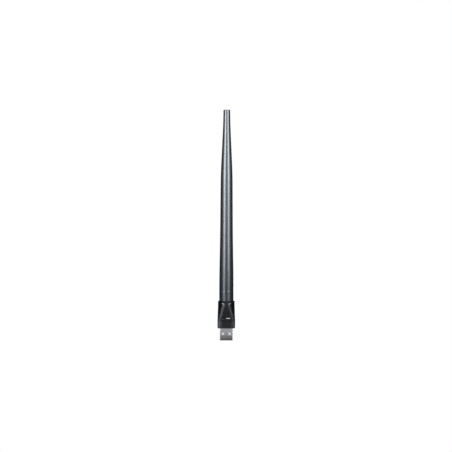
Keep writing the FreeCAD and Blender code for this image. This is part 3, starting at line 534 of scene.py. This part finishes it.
def lead_jacket():
    """Smooth extruded jacket of the antenna lead."""
    s = Shader("lead_jacket", (0.05, 0.045, 0.045), 0.35)
    lines = s.noise(0.2, detail=2.0, stretch=(1.0, 1.0, 0.08))
    s.colour(s.blend(s.spread(s.noise(1.5)), (0.045, 0.04, 0.04), (0.07, 0.062, 0.06)))
    s.roughness(s.spread(lines, 0.28, 0.42))
    s.bump(lines, 0.006, 0.3)
    return s.material


def tube_brass():
    """Drawn brass with a light tarnish."""
    s = Shader("tube_brass", (0.72, 0.53, 0.24), 0.3, metallic=1.0)
    tarnish = s.noise(2.5, detail=5.0)
    lines = s.noise(0.15, detail=2.0, stretch=(1.0, 1.0, 0.05))
    s.colour(s.blend(s.spread(tarnish, 0.0, 1.0, 0.35, 0.7), (0.74, 0.55, 0.26), (0.52, 0.38, 0.2)))
    s.roughness(s.spread(lines, 0.22, 0.4))
    s.bump(lines, 0.004, 0.3)
    return s.material


def wire_copper():
    """Enamelled copper wire."""
    s = Shader("wire_copper", (0.66, 0.32, 0.16), 0.28, metallic=1.0)
    s.colour(s.blend(s.spread(s.noise(1.2)), (0.62, 0.28, 0.13), (0.74, 0.38, 0.2)))
    s.roughness(s.spread(s.noise(0.2, stretch=(1.0, 1.0, 0.1)), 0.2, 0.36))
    return s.material


def foam_ring():
    """Closed-cell foam of the centring rings."""
    s = Shader("foam_ring", (0.83, 0.83, 0.8), 0.8)
    pores = s.cells(0.35)
    s.colour(s.blend(s.spread(pores, 0.0, 1.0, 0.0, 0.6), (0.74, 0.74, 0.71), (0.86, 0.86, 0.84)))
    s.roughness(s.spread(pores, 0.7, 0.9, 0.0, 0.7))
    s.bump(pores, 0.05, 0.6)
    return s.material


def printed_ink():
    """Pale pad-printed ink, a little thin in places, and toned down for strong lamps."""
    s = Shader("printed_ink", (0.75, 0.76, 0.78), 0.5)
    thin = s.noise(0.14, detail=3.0)
    s.colour(s.blend(s.spread(thin), (0.110, 0.104, 0.10), (0.148, 0.139, 0.134)))
    s.roughness(s.spread(thin, 0.4, 0.6))
    return s.material


# ---- pieces made here ---------------------------------------------------------------------------


def make_sleeve(material):
    """The antenna's sleeve as one fine turned surface, in place of the coarser solid."""

    def turned(bm):
        lathe(bm, sleeve_profile(), SLEEVE_SIDES)

    piece = new_piece("sleeve_turned", turned, "antenna", material)
    smooth_by_angle(piece, SLEEVE_SHARP)
    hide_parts("antenna_sleeve")


def capsule(bm, centre, half_length, radius, place, thickness):
    """A flat bar with round ends, on a plane given by place(u, v, lift)."""
    outline = []
    for side in (1, -1):
        for i in range(MARK_END_STEPS + 1):
            turn = math.pi * (i / MARK_END_STEPS - 0.5) + (0 if side > 0 else math.pi)
            u = centre[0] + side * half_length + radius * math.cos(turn)
            outline.append((u, centre[1] + radius * math.sin(turn)))
    low = [bm.verts.new(place(u, v, -thickness)) for u, v in outline]
    high = [bm.verts.new(place(u, v, thickness)) for u, v in outline]
    bm.faces.new(low)
    bm.faces.new(high)
    for i in range(len(outline)):
        j = (i + 1) % len(outline)
        bm.faces.new((low[i], low[j], high[j], high[i]))


def face_place(u, v, lift):
    """A point on the housing's crowned front: u to the right, v its height, lift outward."""
    centre_y = BODY_FRONT_CORNER_Y + math.sqrt((BODY_CROWN - BODY_CORNER) ** 2 - BODY_CORNER_X**2)
    share = (v - BODY_STRAIGHT) / (COLLAR_START - BODY_STRAIGHT)
    radius = BODY_CROWN + (COLLAR_RADIUS - BODY_CROWN) * share
    return Vector((u, centre_y * (1 - share) - math.sqrt(radius**2 - u**2) - lift, v))


def make_mark(material):
    """A plain printed mark on the front: three short bars that mean nothing."""

    def bars(bm):
        for u, half in MARK_BARS:
            capsule(bm, (u * MM, MARK_Z), half * MM, MARK_RADIUS, face_place, INK_THICKNESS)

    new_piece("front_mark", bars, "housing", material)


# ---- stage, lights and camera -------------------------------------------------------------------

# the camera, level in front of the middle of the object. VIEW_WIDTH is what it sees across at that distance
MIDDLE = Vector((-0.0005, 0.0, 0.097))
CAMERA_DISTANCE = 0.8
CAMERA_ROLL = math.radians(-0.15)
VIEW_WIDTH = 0.4305
SENSOR_WIDTH = 36.0

FLOOR_Z = -0.36
FLOOR_RADIUS = 0.62
FLOOR_SIDES = 96

# lamps: name, azimuth and elevation in degrees, width and height in metres, power in watts, and colour
LAMP_DISTANCE = 0.62
LAMPS = [
    ("left_box", -38.5, 20, 0.22, 0.42, 15.4, (0.85, 0.92, 1.0)),
    ("right_box", 39.5, 20, 0.21, 0.42, 12.9, (0.87, 0.935, 1.0)),
    ("left_low_box", -38, -11, 0.22, 0.11, 0.55, (0.90, 0.95, 1.0)),
    ("right_low_box", 38, -11, 0.22, 0.11, 0.28, (0.90, 0.95, 1.0)),
]

# glows of the world: elevation, and where the edge starts and ends to fade, in degrees, and strength
ROOM_STRENGTH = 0.02
ROOM_COLOUR = (0.97, 0.98, 1.0, 1.0)
FRONT_GLOW = (-8, 10, 28, 0.35)
TOP_GLOW = (66, 8, 22, 2.0)


def make_stage():
    """A round pale floor well below the plug and the picture, which fades out towards its rim."""
    mesh = bpy.data.meshes.new("floor")
    bm = bmesh.new()
    bmesh.ops.create_circle(bm, cap_ends=True, segments=FLOOR_SIDES, radius=FLOOR_RADIUS)
    bm.to_mesh(mesh)
    bm.free()
    floor = bpy.data.objects.new("floor", mesh)
    floor.location = (0.0, 0.0, FLOOR_Z)
    bpy.context.scene.collection.objects.link(floor)
    pale = Shader("floor_paper", (0.85, 0.85, 0.85), 0.9)
    pale.roughness(pale.spread(pale.noise(20.0), 0.85, 0.95))
    pale.fade_outward(FLOOR_RADIUS / 4, FLOOR_RADIUS)
    mesh.materials.append(pale.material)


def soft_glow(tree, elevation, inner, outer, strength):
    """A round patch of light in the world, before or above the object. It fades between two angles."""
    e = math.radians(elevation)
    around = tree.nodes.new("ShaderNodeTexCoord")
    toward = tree.nodes.new("ShaderNodeVectorMath")
    toward.operation = "DOT_PRODUCT"
    toward.inputs[1].default_value = (0.0, -math.cos(e), math.sin(e))
    tree.links.new(around.outputs["Generated"], toward.inputs[0])
    fade = tree.nodes.new("ShaderNodeMapRange")
    fade.interpolation_type = "SMOOTHSTEP"
    fade.inputs["From Min"].default_value = math.cos(math.radians(outer))
    fade.inputs["From Max"].default_value = math.cos(math.radians(inner))
    fade.inputs["To Min"].default_value = 0.0
    fade.inputs["To Max"].default_value = strength
    tree.links.new(toward.outputs["Value"], fade.inputs["Value"])
    return fade.outputs["Result"]


def add_values(tree, first, second):
    """The sum of two values."""
    total = tree.nodes.new("ShaderNodeMath")
    total.operation = "ADD"
    tree.links.new(first, total.inputs[0])
    tree.links.new(second, total.inputs[1])
    return total.outputs["Value"]


def make_world():
    """White behind the object as seen by the camera. Light and reflections get a dim grey room
    with one soft glow in front and one overhead."""
    world = bpy.data.worlds.new("studio")
    bpy.context.scene.world = world
    world.use_nodes = True
    tree = world.node_tree
    tree.nodes.clear()
    output = tree.nodes.new("ShaderNodeOutputWorld")
    white = tree.nodes.new("ShaderNodeBackground")
    dim = tree.nodes.new("ShaderNodeBackground")
    seen = tree.nodes.new("ShaderNodeLightPath")
    choose = tree.nodes.new("ShaderNodeMixShader")
    white.inputs["Color"].default_value = WHITE
    white.inputs["Strength"].default_value = 1.0
    dim.inputs["Color"].default_value = ROOM_COLOUR
    room = tree.nodes.new("ShaderNodeValue")
    room.outputs["Value"].default_value = ROOM_STRENGTH
    glows = add_values(tree, soft_glow(tree, *FRONT_GLOW), soft_glow(tree, *TOP_GLOW))
    tree.links.new(add_values(tree, room.outputs["Value"], glows), dim.inputs["Strength"])
    # bounced rays alone meet the world, so that its glows take no light samples from the lamps
    world.cycles.sampling_method = "NONE"
    tree.links.new(seen.outputs["Is Camera Ray"], choose.inputs["Fac"])
    tree.links.new(dim.outputs["Background"], choose.inputs[1])
    tree.links.new(white.outputs["Background"], choose.inputs[2])
    tree.links.new(choose.outputs["Shader"], output.inputs["Surface"])


def softbox(name, azimuth, elevation, width, height, power, colour):
    """A rectangular lamp that faces the middle of the object. Azimuth 0 is in front."""
    lamp = bpy.data.lights.new(name, "AREA")
    lamp.shape = "RECTANGLE"
    lamp.size = width
    lamp.size_y = height
    lamp.energy = power
    lamp.color = colour
    holder = bpy.data.objects.new(name, lamp)
    a = math.radians(azimuth)
    e = math.radians(elevation)
    way = Vector((math.sin(a) * math.cos(e), -math.cos(a) * math.cos(e), math.sin(e)))
    holder.location = MIDDLE + way * LAMP_DISTANCE
    holder.rotation_mode = "QUATERNION"
    holder.rotation_quaternion = way.to_track_quat("Z", "Y")
    bpy.context.scene.collection.objects.link(holder)


def make_lights():
    """Tall soft boxes to the left and right, each with a dim low one under it."""
    for lamp in LAMPS:
        softbox(*lamp)


def make_camera():
    """A level camera straight in front, rolled a little about its line of sight."""
    camera = bpy.data.cameras.new("camera")
    camera.sensor_width = SENSOR_WIDTH
    camera.lens = SENSOR_WIDTH * CAMERA_DISTANCE / VIEW_WIDTH
    camera.clip_start = 0.01
    camera.clip_end = 10.0
    holder = bpy.data.objects.new("camera", camera)
    holder.location = MIDDLE - Vector((0.0, CAMERA_DISTANCE, 0.0))
    holder.rotation_mode = "QUATERNION"
    level = Vector((0.0, -1.0, 0.0)).to_track_quat("Z", "Y")
    holder.rotation_quaternion = Quaternion((0.0, 1.0, 0.0), CAMERA_ROLL) @ level
    bpy.context.scene.collection.objects.link(holder)
    bpy.context.scene.camera = holder


# ---- putting it together ------------------------------------------------------------------------

NODE_LOOKS = {
    "front_cover": "housing_plastic",
    "rear_cover": "housing_plastic",
    "light_pipe": "smoked_lens",
    "button_cap": "button_plastic",
    "plug_shell": "plug_steel",
    "plug_insulator": "white_plastic",
    "plug_contacts": "gold_contact",
    "main_board": "green_board",
    "radio_chip": "chip_black",
    "clock_crystal": "can_metal",
    "power_inductor": "ferrite",
    "voltage_regulator": "chip_black",
    "amplifier": "chip_black",
    "band_filter": "ceramic_tan",
    "capacitors": "ceramic_tan",
    "resistors": "chip_black",
    "indicator_lamp": "lamp_white",
    "push_switch": "switch_plastic",
    "switch_plunger": "switch_plastic",
    "solder_joints": "solder",
    "hinge_washers": "washer_nylon",
    "lead_below_hinge": "lead_jacket",
    "lead_above_hinge": "lead_jacket",
    "antenna_base": "antenna_plastic",
    "antenna_sleeve": "antenna_plastic",
    "dipole_tube": "tube_brass",
    "feed_bush": "white_plastic",
    "radiator_lower": "wire_copper",
    "phasing_coil": "wire_copper",
    "radiator_upper": "wire_copper",
    "centring_rings": "foam_ring",
}

MAKERS = [
    antenna_plastic,
    housing_plastic,
    smoked_lens,
    button_plastic,
    plug_steel,
    white_plastic,
    gold_contact,
    green_board,
    chip_black,
    can_metal,
    ferrite,
    ceramic_tan,
    lamp_white,
    switch_plastic,
    solder,
    washer_nylon,
    lead_jacket,
    tube_brass,
    wire_copper,
    foam_ring,
    printed_ink,
]


def dress_nodes(looks):
    """Gives every CAD node its material and smooth shading."""
    for node, look in NODE_LOOKS.items():
        piece = NODES[node]
        piece.data.materials.clear()
        piece.data.materials.append(looks[look])
        smooth_by_angle(piece, NODE_SHARP)


def main():
    """Dresses the CAD, adds the pieces made here, and sets the stage."""
    looks = {maker.__name__: maker() for maker in MAKERS}
    dress_nodes(looks)
    make_sleeve(looks["antenna_plastic"])
    make_mark(looks["printed_ink"])
    make_stage()
    make_world()
    make_lights()
    make_camera()
    bpy.context.scene.view_settings.view_transform = "Standard"


main()
